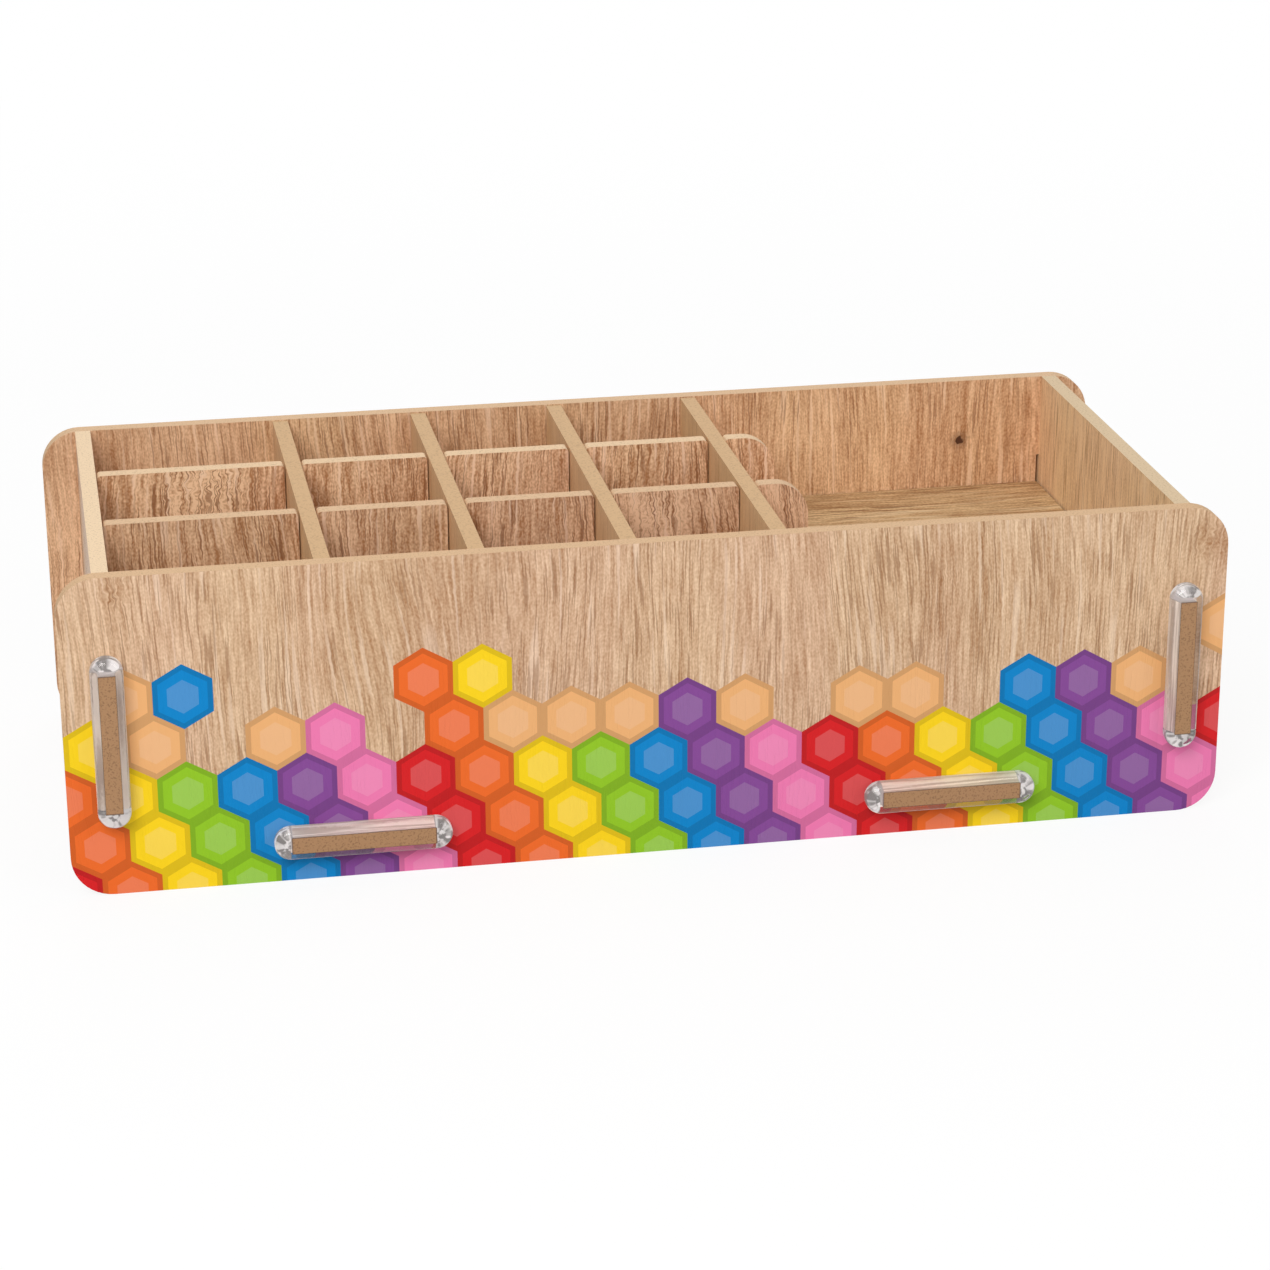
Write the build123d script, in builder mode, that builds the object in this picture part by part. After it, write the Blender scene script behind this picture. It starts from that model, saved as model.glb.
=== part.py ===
from build123d import *
import os

# Open desk box of thin boards that slot together: a front and a back panel with rounded corners stand on
# the table, the side panels and the bottom panel push their tabs through them, and a clear clip grips each
# tab outside. A lattice of dividers drops in from above and carries the floor of the tray on the right.
# Lengths are in millimetres. X runs along the front (right is +X), the front faces -Y, the table is Z = 0.

# Boards and outer panels
board = 4.0
panel_length = 286.0
panel_height = 80.5
inner_depth = 114.0
ear = 9.0
corner_radius = 10.0
foot_height = 9.0

# Compartments, left to right, and the tray
first_column = 48.0
column = 32.8
cross_divider_count = 4
tray_depth = 30.2

# Dividers
rim_drop = 0.25
end_length = 13.5
end_radius = 8.5
lead_in_radius = 1.0
halving_share = 0.5

# Tabs and the clips on them
tab_length = 34.6
tab_proud = 5.0
bottom_tab_inset = 70.0
clip_wall = 2.0
clip_end = 4.3
clip_round_share = 0.36

# Clearances
slot_clearance = 0.4
snug_clearance = 0.05
clip_clearance = 0.05
halving_clearance = 0.35
lift_clearance = 0.25
tray_end_gap = 0.5
overrun = 1.0

# Places worked out from the sizes above
half_depth = inner_depth / 2
outer_face_y = half_depth + board
inner_end_x = panel_length / 2 - ear - board
side_x = inner_end_x + board / 2
mid_height = panel_height / 2
bottom_mid_z = foot_height + board / 2
floor_top = foot_height + board
tab_x = panel_length / 2 - bottom_tab_inset
tab_span = 2 * (outer_face_y + tab_proud)
slot_width = board + 2 * slot_clearance
slot_length = tab_length + 2 * slot_clearance
side_slot_x = side_x + snug_clearance - slot_clearance

divider_top = panel_height - rim_drop
divider_height = divider_top - floor_top
halving_z = floor_top + halving_share * divider_height
halving_width = board + 2 * halving_clearance
row = (inner_depth - 2 * board) / 3
long_y = (row + board) / 2
first_divider_x = -inner_end_x + first_column + board / 2
divider_pitch = column + board
cross_xs = [first_divider_x + index * divider_pitch for index in range(cross_divider_count)]
tray_start_x = cross_xs[-1] + board / 2
tray_floor_z = panel_height - tray_depth - board

parts_folder = "parts"
os.makedirs(parts_folder, exist_ok=True)


def save(piece, name):
    """Label a finished piece and write it as its own file."""
    piece.label = name
    export_step(piece, f"{parts_folder}/{name}.step")


# Front and back panels: alike, slotted for the tabs of the side panels and of the bottom panel. The side
# panels stand against the outer sides of their slots, so the slack is on the inside.
def outer_panel(inner_plane):
    """Make the panel that stands on this plane and grows outwards from it."""
    with BuildPart() as panel:
        with BuildSketch(inner_plane):
            with Locations((0, mid_height)):
                RectangleRounded(panel_length, panel_height, corner_radius)
            with Locations((-side_slot_x, mid_height), (side_slot_x, mid_height)):
                Rectangle(slot_width, slot_length, mode=Mode.SUBTRACT)
            with Locations((-tab_x, bottom_mid_z), (tab_x, bottom_mid_z)):
                Rectangle(slot_length, slot_width, mode=Mode.SUBTRACT)
        extrude(amount=board)
    return panel.part


front_inside = Plane(origin=(0, -half_depth, 0), x_dir=(1, 0, 0), z_dir=(0, -1, 0))
back_inside = Plane(origin=(0, half_depth, 0), x_dir=(-1, 0, 0), z_dir=(0, 1, 0))
save(outer_panel(front_inside), "front_panel")
save(outer_panel(back_inside), "back_panel")


# Side panels: as high as the front, with one tab at mid height at each end
for name, inner_face_x in (("left_panel", -inner_end_x - board), ("right_panel", inner_end_x)):
    with BuildPart() as side_panel:
        with BuildSketch(Plane.YZ.offset(inner_face_x)):
            with Locations((0, mid_height)):
                Rectangle(inner_depth, panel_height)
                Rectangle(tab_span, tab_length)
        extrude(amount=board)
    save(side_panel.part, name)


# Bottom panel: held above the table by two tabs in the front and two in the back
with BuildPart() as bottom_panel:
    with BuildSketch(Plane.XY.offset(foot_height)):
        Rectangle(2 * (inner_end_x - slot_clearance), inner_depth)
        with Locations((-tab_x, 0), (tab_x, 0)):
            Rectangle(tab_length, tab_span)
    extrude(amount=board)
save(bottom_panel.part, "bottom_panel")


# Clips: clear rings with round flanks, each pushed tight over one tab and down onto the panel
clip_width = board + 2 * clip_wall
clip_length = tab_length + 2 * clip_end
clip_height = tab_proud - clip_clearance
clip_round = clip_round_share * clip_height


def clip(base_plane):
    """Make the clip that sits on this plane, its length along the plane's X."""
    with BuildPart() as ring:
        with BuildSketch(base_plane):
            SlotOverall(clip_length, clip_width)
        extrude(amount=clip_height)
        rims = ring.edges().filter_by(Axis(base_plane.origin, base_plane.z_dir), reverse=True)
        fillet(rims, radius=clip_round)
        with BuildSketch(base_plane.offset(-overrun)):
            Rectangle(tab_length + 2 * clip_clearance, board + 2 * clip_clearance)
        extrude(amount=clip_height + 2 * overrun, mode=Mode.SUBTRACT)
    return ring.part


tab_places = {
    "left": (-side_x, mid_height, (0, 0, 1)),
    "right": (side_x, mid_height, (0, 0, 1)),
    "bottom_left": (-tab_x, bottom_mid_z, (1, 0, 0)),
    "bottom_right": (tab_x, bottom_mid_z, (1, 0, 0)),
}
clip_seat_y = outer_face_y + clip_clearance
for side, outward in (("front", -1), ("back", 1)):
    for place, (x, z, along) in tab_places.items():
        base_plane = Plane(origin=(x, outward * clip_seat_y, z), x_dir=along, z_dir=(0, outward, 0))
        save(clip(base_plane), f"{side}_{place}_clip")


# Long dividers: slotted from above for the cross dividers, with the slot mouths eased. Past the last slot
# each ends in a rounded shoulder and runs on as a low rail under the tray.
long_start_x = -inner_end_x + lift_clearance
shoulder_x = tray_start_x + end_length
rail_start_x = shoulder_x - end_radius
rail_end_x = inner_end_x - lift_clearance
rail_height = tray_floor_z - floor_top
corner = (Align.MIN, Align.MIN)

for name, y in (("front_long_divider", -long_y), ("back_long_divider", long_y)):
    with BuildPart() as long_divider:
        with BuildSketch(Plane.XZ.offset(-y - board / 2)) as outline:
            with Locations((long_start_x, floor_top)):
                Rectangle(shoulder_x - long_start_x, divider_height, align=corner)
            with Locations(*[(x - halving_width / 2, halving_z) for x in cross_xs]):
                Rectangle(halving_width, divider_height, align=corner, mode=Mode.SUBTRACT)
            fillet(outline.vertices().group_by(Axis.Y)[-1].sort_by(Axis.X)[:-1], radius=lead_in_radius)
            fillet(outline.vertices().group_by(Axis.X)[-1].sort_by(Axis.Y)[-1], radius=end_radius)
            with Locations((rail_start_x, floor_top)):
                Rectangle(rail_end_x - rail_start_x, rail_height, align=corner)
        extrude(amount=board)
    save(long_divider.part, name)


# Cross dividers: slotted from below, so each one lifts straight up off the long dividers
slot_foot_z = floor_top - overrun
slot_height = halving_z + halving_clearance - slot_foot_z

for number, x in enumerate(cross_xs, start=1):
    with BuildPart() as cross_divider:
        with BuildSketch(Plane.YZ.offset(x - board / 2)):
            with Locations((-half_depth + lift_clearance, floor_top)):
                Rectangle(inner_depth - 2 * lift_clearance, divider_height, align=corner)
            with Locations(*[(y - halving_width / 2, slot_foot_z) for y in (-long_y, long_y)]):
                Rectangle(halving_width, slot_height, align=corner, mode=Mode.SUBTRACT)
        extrude(amount=board)
    save(cross_divider.part, f"cross_divider_{number}")


# Tray floor: lies loose on the rails, notched round the shoulders of the long dividers
floor_start_x = tray_start_x + lift_clearance
floor_end_x = inner_end_x - tray_end_gap
notch_length = shoulder_x + lift_clearance - floor_start_x + overrun

with BuildPart() as tray_floor:
    with BuildSketch(Plane.XY.offset(tray_floor_z)):
        with Locations((floor_start_x, -half_depth + lift_clearance)):
            Rectangle(floor_end_x - floor_start_x, inner_depth - 2 * lift_clearance, align=corner)
        with Locations(*[(floor_start_x - overrun, y - halving_width / 2) for y in (-long_y, long_y)]):
            Rectangle(notch_length, halving_width, align=corner, mode=Mode.SUBTRACT)
    extrude(amount=board)
save(tray_floor.part, "tray_floor")
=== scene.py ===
import math
import bpy
from mathutils import Matrix, Vector


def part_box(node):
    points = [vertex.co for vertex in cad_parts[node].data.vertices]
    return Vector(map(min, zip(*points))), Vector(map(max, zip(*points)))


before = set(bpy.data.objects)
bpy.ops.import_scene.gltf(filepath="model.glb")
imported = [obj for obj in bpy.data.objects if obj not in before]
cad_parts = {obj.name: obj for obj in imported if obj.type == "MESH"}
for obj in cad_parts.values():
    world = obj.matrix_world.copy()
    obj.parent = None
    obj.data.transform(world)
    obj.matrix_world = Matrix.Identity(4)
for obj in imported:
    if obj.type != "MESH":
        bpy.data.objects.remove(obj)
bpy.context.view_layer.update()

# The box stands on the floor Z = 0 with its front facing -Y. Lengths are in metres, or in millimetres where
# a name ends in _mm. Colours run from 0 to 255.
MM = 0.001
MM_PER_METRE = 1000.0
X, Y, Z = 0, 1, 2
WHITE = (255, 255, 255)

# Middle of what runs from 0 to 1: noise, generated coordinates and the steps of a repeat
MIDDLE = 0.5

# Camera, fitted to the edges of the photographed boards
CAMERA_PLACE = Vector((-0.1464, -0.8380, 0.3519))
CAMERA_YAW = 0.1791
CAMERA_PITCH = 0.3571
CAMERA_ROLL = 0.0053
FOCAL_PIXELS = 3501.4
PHOTO_PIXELS = 1270
SENSOR_WIDTH_MM = 36.0

# Boards: the axis through each one's thickness, and the axes across and along its grain
UPRIGHT_ALONG_X = {"thickness": Y, "across": X, "along": Z}
UPRIGHT_ALONG_Y = {"thickness": X, "across": Y, "along": Z}
LYING_FLAT = {"thickness": Z, "across": Y, "along": X}
FACE_LIMITS = (0.80, 0.95)
ARRIS = 0.28 * MM
ARRIS_SEGMENTS = 2
ARRIS_ANGLE = math.radians(40)
FLAT_ANGLE = math.radians(1)

# Oak decor, in layers of noise: each has the size of its marks across and along the grain, and its own
# slice of the noise
GRAIN_LAYERS = {
    "slant": {"size_mm": (90, 170), "slice": 0.1},
    "sweep": {"size_mm": (24, 50), "slice": 0.15},
    "ripple": {"size_mm": (1.8, 2.4), "slice": 0.2, "detail": 1},
    "swirl": {"size_mm": (2.0, 2.0), "slice": 0.3, "detail": 1},
    "fleck": {"size_mm": (0.6, 0.6), "slice": 0.35, "detail": 1},
    "band": {"size_mm": (5, 90), "slice": 0.4},
    "stripe": {"size_mm": (0.9, 40), "slice": 0.5},
    "fibre": {"size_mm": (0.5, 8), "slice": 0.6, "detail": 1},
    "speck": {"size_mm": (0.4, 0.7), "slice": 0.7},
    "pore": {"size_mm": (0.42, 13), "slice": 0.8},
    "gate": {"size_mm": (7, 45), "slice": 0.9},
    "tone": {"size_mm": (26, 160), "slice": 1.0},
    "ragged": {"size_mm": (1.2, 1.2), "slice": 1.1},
    "streak": {"size_mm": (1.2, 34), "slice": 1.2},
}
OAK_DARK = (172, 129, 93)
OAK_LIGHT = (241, 214, 186)
OAK_STREAK = (247, 226, 207)
OAK_PORE = (136, 93, 58)
OAK_KNOT = (74, 40, 20)
PINK_TINT = (255, 246, 239)
YELLOW_TINT = (255, 249, 238)
SLANT_REACH_MM = 9.0
SWEEP_REACH_MM = 2.6
BAND_SHARE = 0.16
STRIPE_SHARE = 0.28
FIBRE_SHARE = 0.6
STREAK_LIMITS = (0.62, 0.74)
STREAK_SHARE = 0.5
PORE_LIMITS = (0.57, 0.66)
PORE_SHARE = 0.58
GATE_LIMITS = (0.35, 0.6)
GATE_SHARES = (0.3, 1.0)
TONE_LIMITS = (0.35, 0.65)
KNOT_RAGGED_SHARE = 0.5
KNOT_HALO_SHARE = 0.35
KNOT_CORE_SHARE = 0.6
SPECK_HEIGHT = 0.5
HEIGHT_RANGE = (-0.6, 0.4)
ROUGHNESS_RANGE = (0.6, 0.44)
BOARD_BUMP = 0.4
BOARD_BUMP_DEPTH = 0.1 * MM
OAK_SPECULAR = 0.5
PRINT_SPECULAR = 0.2

# Raw fibreboard on the cut edges
PALE_EDGE = (215, 179, 140)
TAN_EDGE = (203, 166, 121)
TAB_END = (170, 129, 91)
EDGE_SPECK = (120, 88, 60)
EDGE_SPECK_LIMITS = (0.5, 0.72)
EDGE_SPECK_SHARE = 0.3
EDGE_GRAIN_MM = 0.5
EDGE_ROUGHNESS = 0.8
TAB_SPECK_SHARE = 0.65
TAB_GRAIN_MM = 0.45

# Printed band on the front: a honeycomb in bright colours that thins out upwards. Lengths within a cell are
# parts of the cell's width.
CELL_WIDTH = 14.3 * MM
HALF_CELL = 0.5
ROW_HEIGHT = math.sqrt(3) / 2
CELL_COLOURS = [
    (216, 30, 34),
    (238, 108, 40),
    (252, 213, 24),
    (146, 198, 36),
    (0, 133, 203),
    (134, 74, 150),
    (240, 124, 177),
]
PEACH = (238, 178, 118)
PEACH_SHARE = 0.45
RIM_SHADE = (226, 226, 226)
RIM_WIDTH = 0.09
HEART_WIDTH = 0.26
HEART_WHITE_SHARE = 0.07
FULL_HEIGHT = 32 * MM
LAST_HEIGHT = 56 * MM
FRONT_LIMIT = 0.8

# Clear clips, matt in places: on the seat, which is thicker under the domed ends, and on the walls round
# the tab. Their matt colours are painted light: painted reflection and refraction on the flanks and under
# the domes, painted shade on the tab's end walls and a painted shadow outlining the tab
CLEAR_TINT = (250, 247, 243)
# Painted reflection and refraction on the flanks: light and dark stripes along the clip
FLANK_PAINTED_REFLECTION_DARK = (206, 188, 176)
FLANK_PAINTED_REFLECTION_LIGHT = (252, 242, 234)
FLANK_STRIPE_MM = (0.5, 18)
FLANK_LIMITS = (0.35, 0.65)
# Painted reflections seen through the domed ends: a light and dark mottle
DOME_PAINTED_REFLECTION_DARK = (142, 138, 138)
DOME_PAINTED_REFLECTION_LIGHT = (246, 244, 246)
MOTTLE_MM = 1.1
MOTTLE_LIMITS = (0.4, 0.6)
# Painted shade on the end walls beside the tab
END_WALL_PAINTED_SHADE = (196, 188, 188)
# Painted shadow outlining the tab near the clip's rim
TAB_OUTLINE_PAINTED_SHADOW = (122, 96, 76)
SEAT_DEPTH = 0.2 * MM
DOME_SEAT_DEPTH = 0.7 * MM
WALL_SKIN = 0.05 * MM
END_WALL = 0.35 * MM
OUTLINE_DEPTH = 0.5 * MM
MATT_ROUGHNESS = 0.7
PLASTIC_ROUGHNESS = 0.04
PLASTIC_IOR = 1.49
MOULDING_MM = 1.6
MOULDING_BUMP = 0.25
MOULDING_DEPTH = 0.2 * MM

# Light and floor
FLOOR_SIZE = 8.0
FLOOR_DROP = 0.05 * MM
FLOOR_COLOUR = (190, 190, 190)
FLOOR_SEEN_COLOUR = (250, 250, 250)
FLOOR_WHITE_NEAR = 0.88
FLOOR_FADE = (0.2, 0.9)
WORLD_LIGHT = 0.3
BACKGROUND_WHITE = 1.0
LAMPS = {
    "key": {"place": (-0.5, -1.05, 0.95), "size": 0.8, "watts": 14.5},
    "fill": {"place": (0.95, -1.05, 0.75), "size": 0.9, "watts": 4.5},
    "top": {"place": (-0.15, 0.45, 1.4), "size": 1.1, "watts": 3.5},
    "back": {"place": (0.2, 1.3, 0.6), "size": 1.0, "watts": 6.0},
}
AIM_POINT = Vector((0.0, 0.0, 0.04))


# Node trees that read like formulas
def linear(colour):
    """Turn an sRGB colour of 0 to 255 into the linear colour that a node socket takes."""
    channels = []
    for channel in colour:
        share = channel / 255
        channels.append(share / 12.92 if share <= 0.04045 else ((share + 0.055) / 1.055) ** 2.4)
    return (*channels, 1.0)


class Graph:
    """Adds nodes to one tree and joins them."""

    # Sockets of the mix node, by number
    MIX_FACTOR = 0
    MIX_NUMBERS = (2, 3)
    MIX_NUMBER_RESULT = 0
    MIX_COLOURS = (6, 7)
    MIX_COLOUR_RESULT = 2

    def __init__(self, tree):
        self.tree = tree

    def node(self, kind, **settings):
        node = self.tree.nodes.new(kind)
        for name, value in settings.items():
            setattr(node, name, value)
        return node

    def feed(self, socket, value):
        """Join a socket to another node's output, or set it to a constant."""
        if isinstance(value, bpy.types.NodeSocket):
            self.tree.links.new(value, socket)
        else:
            socket.default_value = value

    def math(self, operation, *values, clamp=False):
        node = self.node("ShaderNodeMath", operation=operation, use_clamp=clamp)
        for socket, value in zip(node.inputs, values):
            self.feed(socket, value)
        return node.outputs[0]

    def add(self, *values):
        total = values[0]
        for value in values[1:]:
            total = self.math("ADD", total, value)
        return total

    def times(self, *values):
        product = values[0]
        for value in values[1:]:
            product = self.math("MULTIPLY", product, value)
        return product

    def ramp(self, value, low, high, start=0.0, end=1.0, smooth=True):
        """Map low..high to start..end, with soft or straight ends."""
        kind = "SMOOTHSTEP" if smooth else "LINEAR"
        node = self.node("ShaderNodeMapRange", interpolation_type=kind, clamp=True)
        for socket, number in zip(node.inputs, (value, low, high, start, end)):
            self.feed(socket, number)
        return node.outputs[0]

    def mix(self, factor, first, second, blend="MIX"):
        """Mix two colours."""
        node = self.node("ShaderNodeMix", data_type="RGBA", blend_type=blend)
        self.feed(node.inputs[self.MIX_FACTOR], factor)
        for socket, colour in zip(self.MIX_COLOURS, (first, second)):
            self.feed(node.inputs[socket], colour)
        return node.outputs[self.MIX_COLOUR_RESULT]

    def blend(self, factor, first, second):
        """Mix two numbers."""
        node = self.node("ShaderNodeMix", data_type="FLOAT")
        self.feed(node.inputs[self.MIX_FACTOR], factor)
        for socket, number in zip(self.MIX_NUMBERS, (first, second)):
            self.feed(node.inputs[socket], number)
        return node.outputs[self.MIX_NUMBER_RESULT]

    def vector(self, x, y, z=0.0):
        node = self.node("ShaderNodeCombineXYZ")
        for socket, value in zip(node.inputs, (x, y, z)):
            self.feed(socket, value)
        return node.outputs[0]

    def split(self, vector):
        node = self.node("ShaderNodeSeparateXYZ")
        self.feed(node.inputs[0], vector)
        return node.outputs[:3]

    def noise(self, vector, detail=0):
        node = self.node("ShaderNodeTexNoise", noise_dimensions="3D")
        self.feed(node.inputs["Vector"], vector)
        node.inputs["Scale"].default_value = 1.0
        node.inputs["Detail"].default_value = detail
        return node.outputs["Fac"]

    def even_noise(self, place, size_mm):
        """Return noise whose marks have the same size in all directions."""
        node = self.node("ShaderNodeVectorMath", operation="SCALE")
        self.feed(node.inputs[0], place)
        node.inputs["Scale"].default_value = MM_PER_METRE / size_mm
        return self.noise(node.outputs[0], detail=1)

    def palette(self, number, colours):
        """Return the colour that has this number, counted from 0."""
        node = self.node("ShaderNodeValToRGB")
        steps = node.color_ramp
        steps.interpolation = "CONSTANT"
        count = float(len(colours))
        while len(steps.elements) < len(colours):
            steps.elements.new(1.0)
        for index, colour in enumerate(colours):
            steps.elements[index].position = index / count
            steps.elements[index].color = linear(colour)
        self.feed(node.inputs[0], self.math("DIVIDE", self.add(number, MIDDLE), count))
        return node.outputs[0]

    def bump(self, height, strength, depth):
        """Return the normal of a surface with this relief."""
        node = self.node("ShaderNodeBump")
        node.inputs["Strength"].default_value = strength
        node.inputs["Distance"].default_value = depth
        self.feed(node.inputs["Height"], height)
        return node.outputs[0]


def new_material(name):
    """Make an empty material and return it with its graph and its shader."""
    material = bpy.data.materials.new(name)
    material.use_nodes = True
    material.node_tree.nodes.clear()
    graph = Graph(material.node_tree)
    shader = graph.node("ShaderNodeBsdfPrincipled")
    output = graph.node("ShaderNodeOutputMaterial")
    graph.feed(output.inputs["Surface"], shader.outputs[0])
    return material, graph, shader


# Oak decor
class OakDecor:
    """The decor on a board's two faces, at a place across and along the grain in millimetres."""

    def __init__(self, graph, across, along, face, seed):
        self.graph = graph
        self.across = across
        self.along = along
        self.face = face
        self.seed = seed

    def grain(self, name, place):
        """Return one layer of noise, stretched along the grain."""
        layer = GRAIN_LAYERS[name]
        width, length = layer["size_mm"]
        stretched = self.graph.vector(
            self.graph.math("DIVIDE", place, width),
            self.graph.math("DIVIDE", self.along, length),
            self.graph.add(self.face, self.seed + layer["slice"]),
        )
        return self.graph.noise(stretched, layer.get("detail", 0))

    def sway(self, noise, reach):
        """Return the noise as a swing of this reach to both sides."""
        return self.graph.times(self.graph.math("SUBTRACT", noise, MIDDLE), 2 * reach)

    def distance_to(self, spot_mm):
        """Return the distance to a spot on the face."""
        sideways = self.graph.math("SUBTRACT", self.across, spot_mm[0])
        lengthways = self.graph.math("SUBTRACT", self.along, spot_mm[1])
        squares = self.graph.add(
            self.graph.times(sideways, sideways),
            self.graph.times(lengthways, lengthways),
        )
        return self.graph.math("SQRT", squares)

    def bend(self, ripple_mm):
        """Return the place across the grain, moved as the grain slants, sweeps and ripples."""
        return self.graph.add(
            self.across,
            self.sway(self.grain("slant", self.across), SLANT_REACH_MM),
            self.sway(self.grain("sweep", self.across), SWEEP_REACH_MM),
            self.sway(self.grain("ripple", self.across), ripple_mm),
        )

    def curl(self, bent, patches):
        """Curl the grain in the patches, and return it with how much paler the wood is there."""
        pale = 0.0
        for patch in patches:
            near = self.graph.ramp(self.distance_to(patch["at_mm"]), 0.0, patch["reach_mm"], 1.0, 0.0)
            shift = patch["pale"]
            if "swirl_mm" in patch:
                swirl = self.sway(self.grain("swirl", self.across), patch["swirl_mm"])
                bent = self.graph.add(bent, self.graph.times(swirl, near))
            if "fleck" in patch:
                shift = self.graph.add(self.sway(self.grain("fleck", bent), patch["fleck"]), shift)
            pale = self.graph.add(pale, self.graph.times(near, shift))
        return bent, pale

    def wood(self, bent, pale, contrast, lightness, grit):
        """Return the colour of the grain, and its height, which is lowest in the pores."""
        graph = self.graph
        speck = self.grain("speck", bent)
        level = graph.add(
            lightness,
            self.sway(self.grain("band", bent), BAND_SHARE * contrast),
            self.sway(self.grain("stripe", bent), STRIPE_SHARE * contrast),
            self.sway(self.grain("fibre", bent), FIBRE_SHARE * contrast),
            self.sway(speck, grit * contrast),
            pale,
        )
        level = graph.ramp(level, 0.0, 1.0, smooth=False)
        colour = graph.mix(level, linear(OAK_DARK), linear(OAK_LIGHT))
        streak = graph.ramp(self.grain("streak", bent), *STREAK_LIMITS)
        colour = graph.mix(graph.times(streak, STREAK_SHARE * contrast), colour, linear(OAK_STREAK))
        gate = graph.ramp(self.grain("gate", bent), *GATE_LIMITS, *GATE_SHARES)
        pore = graph.times(graph.ramp(self.grain("pore", bent), *PORE_LIMITS), gate)
        colour = graph.mix(graph.times(pore, PORE_SHARE * contrast), colour, linear(OAK_PORE))
        return colour, graph.math("SUBTRACT", graph.times(speck, SPECK_HEIGHT), pore)

    def tinted(self, colour):
        """Return the colour in wide zones of pinker and yellower wood."""
        tone = self.graph.ramp(self.grain("tone", self.across), *TONE_LIMITS)
        tint = self.graph.mix(tone, linear(PINK_TINT), linear(YELLOW_TINT))
        return self.graph.mix(1.0, colour, tint, blend="MULTIPLY")

    def knotted(self, colour, knots):
        """Return the colour with ragged dark knots in it."""
        for knot in knots:
            heart_mm = knot["heart_mm"]
            ragged = self.sway(self.grain("ragged", self.across), KNOT_RAGGED_SHARE * heart_mm)
            reach = self.graph.add(self.distance_to(knot["at_mm"]), ragged)
            halo = self.graph.ramp(reach, heart_mm, knot["halo_mm"], KNOT_HALO_SHARE, 0.0)
            heart = self.graph.ramp(reach, KNOT_CORE_SHARE * heart_mm, heart_mm, 1.0, 0.0)
            colour = self.graph.mix(self.graph.math("MAXIMUM", halo, heart), colour, linear(OAK_KNOT))
        return colour


# Boards
def fibreboard(graph, place, colour, grain_mm, speck_share):
    """Return the speckled colour and the grain of a cut fibreboard edge."""
    fine = graph.even_noise(place, grain_mm)
    speck = graph.ramp(fine, *EDGE_SPECK_LIMITS)
    return graph.mix(graph.times(speck, speck_share), linear(colour), linear(EDGE_SPECK)), fine


def board_material(name, lie, seed, contrast=1.0, lightness=0.5, grit=0.34, ripple_mm=0.2, tint_and_painted_light=WHITE,
                   edge=PALE_EDGE, patches=(), knots=(), tab_ends=False, printed=False):
    """Make the material of one board: oak decor on its faces and raw fibreboard on its edges."""
    material, graph, shader = new_material(name)
    coordinates = graph.node("ShaderNodeTexCoord")
    place = coordinates.outputs["Object"]
    axes = graph.split(place)
    facing = graph.split(coordinates.outputs["Normal"])
    facing_out = facing[lie["thickness"]]

    decor = OakDecor(
        graph,
        across=graph.times(axes[lie["across"]], MM_PER_METRE),
        along=graph.times(axes[lie["along"]], MM_PER_METRE),
        face=graph.math("SIGN", facing_out),
        seed=seed,
    )
    bent, pale = decor.curl(decor.bend(ripple_mm), patches)
    colour, height = decor.wood(bent, pale, contrast, lightness, grit)
    colour = decor.knotted(decor.tinted(colour), knots)
    # Multiply by the board's tint, which is partly its own tone and partly painted light: it sets how
    # light, dark and warm each board looks with the light it gets in the box
    colour = graph.mix(1.0, colour, linear(tint_and_painted_light), blend="MULTIPLY")
    if printed:
        print_colour, print_mask = honeycomb_print(graph, axes, facing)
        colour = graph.mix(print_mask, colour, print_colour)

    edge_colour, edge_grain = fibreboard(graph, place, edge, EDGE_GRAIN_MM, EDGE_SPECK_SHARE)
    if tab_ends:
        tab_colour, _ = fibreboard(graph, place, TAB_END, TAB_GRAIN_MM, TAB_SPECK_SHARE)
        panel_face = abs(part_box("front_panel")[0].y)
        beyond = graph.math("GREATER_THAN", graph.math("ABSOLUTE", axes[Y]), panel_face)
        edge_colour = graph.mix(beyond, edge_colour, tab_colour)

    on_face = graph.ramp(graph.math("ABSOLUTE", facing_out), *FACE_LIMITS)
    roughness = graph.ramp(height, *HEIGHT_RANGE, *ROUGHNESS_RANGE)
    relief = graph.blend(on_face, edge_grain, height)
    graph.feed(shader.inputs["Base Color"], graph.mix(on_face, edge_colour, colour))
    graph.feed(shader.inputs["Roughness"], graph.blend(on_face, EDGE_ROUGHNESS, roughness))
    graph.feed(shader.inputs["Normal"], graph.bump(relief, BOARD_BUMP, BOARD_BUMP_DEPTH))
    shader.inputs["Specular IOR Level"].default_value = PRINT_SPECULAR if printed else OAK_SPECULAR
    return material


# Printed band
def nearest_cell(graph, sideways, upwards):
    """Return the offsets across and up from the centre of the nearest cell."""
    def nearest_in_rows(first_row):
        """Return the offsets among every second row of cells."""
        turned = graph.math("FRACT", graph.add(sideways, HALF_CELL * first_row))
        lifted = graph.math("SUBTRACT", upwards, ROW_HEIGHT * first_row)
        turns = graph.math("FRACT", graph.math("DIVIDE", lifted, 2 * ROW_HEIGHT))
        across = graph.math("SUBTRACT", turned, MIDDLE)
        return across, graph.times(graph.math("SUBTRACT", turns, MIDDLE), 2 * ROW_HEIGHT)

    def length_squared(offset):
        return graph.add(graph.math("POWER", offset[0], 2.0), graph.math("POWER", offset[1], 2.0))

    even, odd = nearest_in_rows(0), nearest_in_rows(1)
    take_odd = graph.math("LESS_THAN", length_squared(odd), length_squared(even))
    return graph.blend(take_odd, even[0], odd[0]), graph.blend(take_odd, even[1], odd[1])


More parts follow.
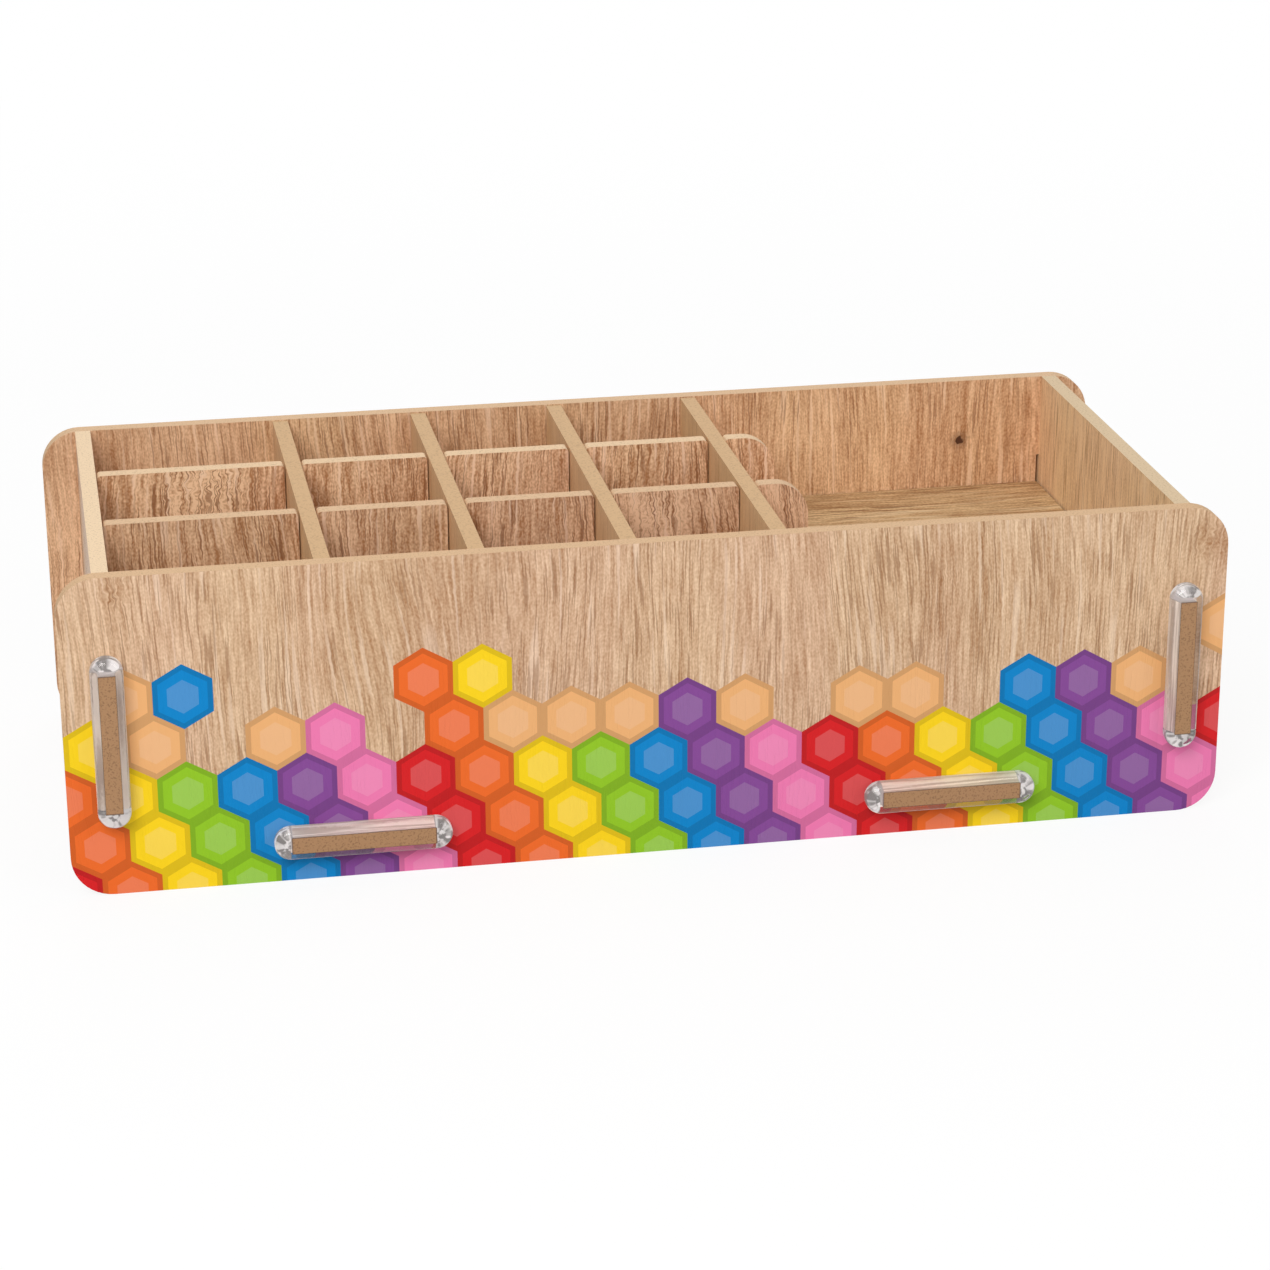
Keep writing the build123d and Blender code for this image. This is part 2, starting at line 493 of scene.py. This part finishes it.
def cell_colour(graph, column, row, centre_height):
    """Return a cell's colour and whether it is there: cells get fewer upwards, and the last are peach."""
    diagonal = graph.math("FLOOR", graph.math("DIVIDE", graph.add(column, row), 2.0))
    number = graph.math("FLOORED_MODULO", diagonal, float(len(CELL_COLOURS)))
    colour = graph.palette(number, CELL_COLOURS)
    chance = graph.node("ShaderNodeTexWhiteNoise", noise_dimensions="2D")
    graph.feed(chance.inputs["Vector"], graph.vector(column, row))
    share_left = graph.ramp(centre_height, FULL_HEIGHT, LAST_HEIGHT, 1.0, 0.0, smooth=False)
    kept = graph.math("LESS_THAN", chance.outputs["Value"], share_left)
    bright_share = graph.times(share_left, 1 - PEACH_SHARE)
    soon_gone = graph.math("GREATER_THAN", chance.outputs["Value"], bright_share)
    high_up = graph.math("GREATER_THAN", centre_height, FULL_HEIGHT)
    return graph.mix(graph.times(soon_gone, high_up), colour, linear(PEACH)), kept


def honeycomb_print(graph, axes, facing):
    """Return the colour and the mask of the honeycomb on the front face."""
    low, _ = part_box("front_panel")
    sideways = graph.math("DIVIDE", graph.math("SUBTRACT", axes[X], low.x), CELL_WIDTH)
    upwards = graph.math("DIVIDE", graph.math("SUBTRACT", axes[Z], low.z), CELL_WIDTH)
    across, rise = nearest_cell(graph, sideways, upwards)
    centre_across = graph.math("SUBTRACT", sideways, across)
    centre_up = graph.math("SUBTRACT", upwards, rise)
    column = graph.math("ROUND", graph.math("DIVIDE", centre_across, HALF_CELL))
    row = graph.math("ROUND", graph.math("DIVIDE", centre_up, ROW_HEIGHT))
    body, kept = cell_colour(graph, column, row, graph.times(centre_up, CELL_WIDTH))

    # Reach towards the next cell in the same row, or towards the one in the next row
    reach_across = graph.math("ABSOLUTE", across)
    reach_up = graph.math("ABSOLUTE", rise)
    slanted = graph.add(graph.times(reach_across, HALF_CELL), graph.times(reach_up, ROW_HEIGHT))
    reach = graph.math("MAXIMUM", reach_across, slanted)
    rim = graph.mix(1.0, body, linear(RIM_SHADE), blend="MULTIPLY")
    heart = graph.mix(HEART_WHITE_SHARE, body, linear(WHITE))
    colour = graph.mix(graph.math("GREATER_THAN", reach, HALF_CELL - RIM_WIDTH), body, rim)
    colour = graph.mix(graph.math("LESS_THAN", reach, HEART_WIDTH), colour, heart)
    front = graph.math("LESS_THAN", facing[Y], -FRONT_LIMIT)
    return colour, graph.times(kept, front)


# Clear clips
def painted_flank_reflections(graph, axes, depth, across, along):
    """Return the colour of a clip's matt flanks, in fine stripes along the clip: painted reflection and
    refraction.
    """
    stripe_width, stripe_length = FLANK_STRIPE_MM
    stripe_place = graph.vector(
        graph.times(depth, MM_PER_METRE / stripe_width),
        graph.times(axes[across], MM_PER_METRE / stripe_width),
        graph.times(axes[along], MM_PER_METRE / stripe_length),
    )
    stripe = graph.ramp(graph.noise(stripe_place), *FLANK_LIMITS)
    return graph.mix(stripe, linear(FLANK_PAINTED_REFLECTION_DARK), linear(FLANK_PAINTED_REFLECTION_LIGHT))


def clip_material(name, clip, tab_panel, across, along):
    """Make the clear plastic of clips that lie alike, matt on the seat and on the walls round the tab, with
    painted light and shade in the matt colours.
    """
    material, graph, shader = new_material(name)
    coordinates = graph.node("ShaderNodeTexCoord")
    place = coordinates.outputs["Object"]
    axes = graph.split(place)
    spread = graph.split(coordinates.outputs["Generated"])
    clip_low, clip_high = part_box(clip)
    clip_size = clip_high - clip_low
    tab_low, tab_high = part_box(tab_panel)
    panel_face = abs(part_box("front_panel")[0].y)

    def from_middle(axis):
        """Return the distance from the middle of the clip, as a part of its size."""
        return graph.math("ABSOLUTE", graph.math("SUBTRACT", spread[axis], MIDDLE))

    depth = graph.math("ABSOLUTE", axes[Y])
    half_board = (tab_high - tab_low)[across] / 2
    board_share = (half_board + 2 * WALL_SKIN) / clip_size[across]
    tab_share = MIDDLE - (clip_size[across] / 2 + WALL_SKIN) / clip_size[along]
    past_tab = graph.math("GREATER_THAN", from_middle(along), tab_share)
    wall = graph.math("LESS_THAN", from_middle(across), board_share)
    wall = graph.times(wall, graph.math("SUBTRACT", 1.0, past_tab))
    seat_depth = graph.blend(past_tab, panel_face + SEAT_DEPTH, panel_face + DOME_SEAT_DEPTH)
    matt = graph.math("MAXIMUM", graph.math("LESS_THAN", depth, seat_depth), wall)
    at_end = graph.math("GREATER_THAN", from_middle(along), tab_share - END_WALL / clip_size[along])
    at_rim = graph.math("GREATER_THAN", depth, abs(clip_low.y) - OUTLINE_DEPTH)

    # Painted reflections under the domes: a light and dark mottle
    mottle = graph.ramp(graph.even_noise(place, MOTTLE_MM), *MOTTLE_LIMITS)
    dome_reflections = graph.mix(mottle, linear(DOME_PAINTED_REFLECTION_DARK), linear(DOME_PAINTED_REFLECTION_LIGHT))
    # Painted reflection on the flanks, and painted reflections under the domes
    matt_painted_light = graph.mix(past_tab, painted_flank_reflections(graph, axes, depth, across, along), dome_reflections)
    # Painted shade on the end walls beside the tab
    matt_painted_light = graph.mix(graph.times(wall, at_end), matt_painted_light, linear(END_WALL_PAINTED_SHADE))
    # Painted shadow outlining the tab near the clip's rim
    matt_painted_light = graph.mix(graph.times(wall, at_rim), matt_painted_light, linear(TAB_OUTLINE_PAINTED_SHADOW))
    relief = graph.even_noise(place, MOULDING_MM)
    graph.feed(shader.inputs["Base Color"], graph.mix(matt, linear(CLEAR_TINT), matt_painted_light))
    graph.feed(shader.inputs["Roughness"], graph.blend(matt, PLASTIC_ROUGHNESS, MATT_ROUGHNESS))
    graph.feed(shader.inputs["Transmission Weight"], graph.math("SUBTRACT", 1.0, matt))
    graph.feed(shader.inputs["Normal"], graph.bump(relief, MOULDING_BUMP, MOULDING_DEPTH))
    shader.inputs["IOR"].default_value = PLASTIC_IOR
    return material


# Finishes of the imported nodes
def dress(node_name, material):
    """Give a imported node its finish."""
    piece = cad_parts[node_name]
    for slot in piece.material_slots:
        slot.material = material


def soften_arrises(node_name):
    """Break the sharp edges of a board, as sawn and handled boards have them."""
    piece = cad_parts[node_name]
    flat = piece.modifiers.new("flat_faces", "DECIMATE")
    flat.decimate_type = "DISSOLVE"
    flat.angle_limit = FLAT_ANGLE
    bevel = piece.modifiers.new("arris", "BEVEL")
    bevel.width = ARRIS
    bevel.segments = ARRIS_SEGMENTS
    bevel.limit_method = "ANGLE"
    bevel.angle_limit = ARRIS_ANGLE
    bevel.harden_normals = True


# Patches and knots lie at places across and along the grain of their board
# The cross dividers' raised lightness and yellow tint are partly painted light: they brighten faces that
# lie in the shade of the compartments
CROSS_DIVIDER = {"contrast": 0.45, "lightness": 0.66, "tint_and_painted_light": (255, 250, 228), "edge": TAN_EDGE}
BOARDS = {
    "front_panel": {
        "lie": UPRIGHT_ALONG_X, "seed": 1.0, "contrast": 0.84, "lightness": 0.56, "printed": True,
        "patches": (
            {"at_mm": (-129, 76.5), "reach_mm": 6.5, "pale": -0.2, "swirl_mm": 1.6, "fleck": 0.2},
            {"at_mm": (-120, 62), "reach_mm": 32, "pale": 0.09},
            {"at_mm": (-60, 62), "reach_mm": 46, "pale": -0.2, "swirl_mm": 0.25},
            {"at_mm": (73, 58), "reach_mm": 36, "pale": -0.11, "swirl_mm": 0.25},
            {"at_mm": (139, 72), "reach_mm": 9, "pale": -0.3, "swirl_mm": 1.5, "fleck": 0.25},
        ),
    },
    "back_panel": {
        "lie": UPRIGHT_ALONG_X, "seed": 4.0, "contrast": 1.05, "grit": 0.4, "ripple_mm": 0.26,
        # Its tint is partly painted light: it sets how warm the panel looks inside the compartments
        "tint_and_painted_light": (251, 242, 229),
        "knots": ({"at_mm": (107, 63.5), "heart_mm": 1.45, "halo_mm": 3.4},),
        "patches": (
            {"at_mm": (-139, 50), "reach_mm": 24, "pale": 0.3, "swirl_mm": 0.7},
            {"at_mm": (-95, 72), "reach_mm": 36, "pale": 0.2},
            {"at_mm": (62, 70), "reach_mm": 16, "pale": 0.22},
        ),
    },
    # The left panel's edge is paler than the other boards' edges, partly as painted light: its top edge is
    # lit from the left
    "left_panel": {"lie": UPRIGHT_ALONG_Y, "seed": 7.0, "edge": (235, 207, 170), "tab_ends": True},
    # The right panel's raised lightness and yellow tint are painted light: they brighten its inner wall,
    # which lies in shade, and offset the warm light bounced onto it inside the box
    "right_panel": {
        "lie": UPRIGHT_ALONG_Y, "seed": 10.0, "contrast": 0.9, "lightness": 0.88,
        "tint_and_painted_light": (255, 255, 240), "edge": (213, 188, 152), "tab_ends": True,
    },
    "bottom_panel": {"lie": LYING_FLAT, "seed": 13.0, "tab_ends": True},
    "front_long_divider": {
        "lie": UPRIGHT_ALONG_X, "seed": 16.0, "contrast": 1.3, "grit": 0.42, "ripple_mm": 0.45,
        # Its tint is partly painted shade: it darkens the divider, which stands inside the box
        "tint_and_painted_light": (240, 231, 224),
        "patches": (
            {"at_mm": (5, 75), "reach_mm": 19, "pale": 0.36, "swirl_mm": 1.2, "fleck": 0.7},
            {"at_mm": (23, 62), "reach_mm": 12, "pale": -0.25, "swirl_mm": 1.2, "fleck": 0.7},
            {"at_mm": (35, 76), "reach_mm": 17, "pale": 0.4, "swirl_mm": 0.8},
        ),
    },
    "back_long_divider": {
        "lie": UPRIGHT_ALONG_X, "seed": 19.0, "contrast": 1.4, "grit": 0.42, "ripple_mm": 0.45,
        # Its tint is partly painted light: it sets how warm the divider looks inside the box
        "tint_and_painted_light": (255, 245, 236), "edge": (227, 195, 156),
        "patches": (
            {"at_mm": (-103, 76), "reach_mm": 19, "pale": 0.38, "swirl_mm": 1.8, "fleck": 0.7},
            {"at_mm": (-78, 66), "reach_mm": 12, "pale": -0.5, "swirl_mm": 1.5, "fleck": 0.7},
        ),
    },
    "cross_divider_1": {"lie": UPRIGHT_ALONG_Y, "seed": 22.0, **CROSS_DIVIDER},
    "cross_divider_2": {"lie": UPRIGHT_ALONG_Y, "seed": 25.0, **CROSS_DIVIDER},
    "cross_divider_3": {"lie": UPRIGHT_ALONG_Y, "seed": 28.0, **CROSS_DIVIDER},
    "cross_divider_4": {"lie": UPRIGHT_ALONG_Y, "seed": 31.0, **CROSS_DIVIDER},
    # The tray floor's tint is painted shade: it darkens the floor, which lies deep in the box, and turns it
    # yellower
    "tray_floor": {
        "lie": LYING_FLAT, "seed": 34.0, "contrast": 1.4, "tint_and_painted_light": (233, 234, 211),
        "patches": (
            {"at_mm": (0, 62), "reach_mm": 40, "pale": 0.22},
            {"at_mm": (20, 135), "reach_mm": 45, "pale": -0.16},
        ),
    },
}
for board, finish in BOARDS.items():
    dress(board, board_material(f"{board}_oak", **finish))
    soften_arrises(board)

upright_plastic = clip_material(
    "upright_clip_plastic", "front_left_clip", "left_panel", across=X, along=Z)
lying_plastic = clip_material(
    "lying_clip_plastic", "front_bottom_left_clip", "bottom_panel", across=Z, along=X)
for node_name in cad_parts:
    if node_name.endswith("_clip"):
        dress(node_name, lying_plastic if "bottom" in node_name else upright_plastic)


# Floor and light
def seen_directly(graph):
    """Return 1 for rays that show the background: from the camera, in gloss and through clear plastic."""
    rays = graph.node("ShaderNodeLightPath")
    shown = graph.math("ADD", rays.outputs["Is Camera Ray"], rays.outputs["Is Glossy Ray"], clamp=True)
    return graph.math("ADD", shown, rays.outputs["Is Transmission Ray"], clamp=True)


def floor_material():
    """Make a pale floor that is nearly white where it is seen, and wholly white further out."""
    material = bpy.data.materials.new("floor_white")
    material.use_nodes = True
    material.node_tree.nodes.clear()
    graph = Graph(material.node_tree)
    seen = seen_directly(graph)
    paint = graph.node("ShaderNodeBsdfDiffuse")
    graph.feed(paint.inputs["Color"], graph.mix(seen, linear(FLOOR_COLOUR), linear(FLOOR_SEEN_COLOUR)))
    white = graph.node("ShaderNodeEmission")
    coordinates = graph.node("ShaderNodeTexCoord")
    reach = graph.node("ShaderNodeVectorMath", operation="LENGTH")
    graph.feed(reach.inputs[0], coordinates.outputs["Object"])
    white_share = graph.ramp(reach.outputs["Value"], *FLOOR_FADE, FLOOR_WHITE_NEAR, 1.0)
    blend = graph.node("ShaderNodeMixShader")
    graph.feed(blend.inputs[0], graph.times(seen, white_share))
    graph.feed(blend.inputs[1], paint.outputs[0])
    graph.feed(blend.inputs[2], white.outputs[0])
    output = graph.node("ShaderNodeOutputMaterial")
    graph.feed(output.inputs["Surface"], blend.outputs[0])
    return material


def make_floor():
    """Lay a plain floor just under the box."""
    half = FLOOR_SIZE / 2
    outline = ((-half, -half), (half, -half), (half, half), (-half, half))
    mesh = bpy.data.meshes.new("floor")
    mesh.from_pydata([(x, y, -FLOOR_DROP) for x, y in outline], [], [(0, 1, 2, 3)])
    mesh.materials.append(floor_material())
    floor = bpy.data.objects.new("floor", mesh)
    bpy.context.scene.collection.objects.link(floor)


def make_world():
    """Light the scene evenly from all round, against a white background."""
    world = bpy.data.worlds.new("studio")
    world.use_nodes = True
    world.node_tree.nodes.clear()
    graph = Graph(world.node_tree)

    def sky(strength):
        node = graph.node("ShaderNodeBackground")
        node.inputs["Color"].default_value = linear(WHITE)
        node.inputs["Strength"].default_value = strength
        return node.outputs[0]

    blend = graph.node("ShaderNodeMixShader")
    graph.feed(blend.inputs[0], seen_directly(graph))
    graph.feed(blend.inputs[1], sky(WORLD_LIGHT))
    graph.feed(blend.inputs[2], sky(BACKGROUND_WHITE))
    output = graph.node("ShaderNodeOutputWorld")
    graph.feed(output.inputs["Surface"], blend.outputs[0])
    bpy.context.scene.world = world


def make_lamps():
    """Hang large soft lamps round the box."""
    for name, lamp in LAMPS.items():
        light = bpy.data.lights.new(name, "AREA")
        light.size = lamp["size"]
        light.energy = lamp["watts"]
        holder = bpy.data.objects.new(name, light)
        holder.location = lamp["place"]
        holder.rotation_euler = (AIM_POINT - holder.location).to_track_quat("-Z", "Y").to_euler()
        bpy.context.scene.collection.objects.link(holder)


def make_camera():
    """Set the camera where the photograph was taken."""
    forward = Vector((
        math.sin(CAMERA_YAW) * math.cos(CAMERA_PITCH),
        math.cos(CAMERA_YAW) * math.cos(CAMERA_PITCH),
        -math.sin(CAMERA_PITCH),
    ))
    level_right = Vector((math.cos(CAMERA_YAW), -math.sin(CAMERA_YAW), 0.0))
    level_up = level_right.cross(forward)
    right = level_right * math.cos(CAMERA_ROLL) - level_up * math.sin(CAMERA_ROLL)
    up = level_right * math.sin(CAMERA_ROLL) + level_up * math.cos(CAMERA_ROLL)
    camera = bpy.data.cameras.new("camera")
    camera.sensor_width = SENSOR_WIDTH_MM
    camera.lens = FOCAL_PIXELS / PHOTO_PIXELS * SENSOR_WIDTH_MM
    holder = bpy.data.objects.new("camera", camera)
    turn = Matrix((right, up, -forward)).transposed()
    holder.matrix_world = Matrix.Translation(CAMERA_PLACE) @ turn.to_4x4()
    bpy.context.scene.collection.objects.link(holder)
    bpy.context.scene.camera = holder


make_floor()
make_world()
make_lamps()
make_camera()
bpy.context.scene.view_settings.view_transform = "Standard"
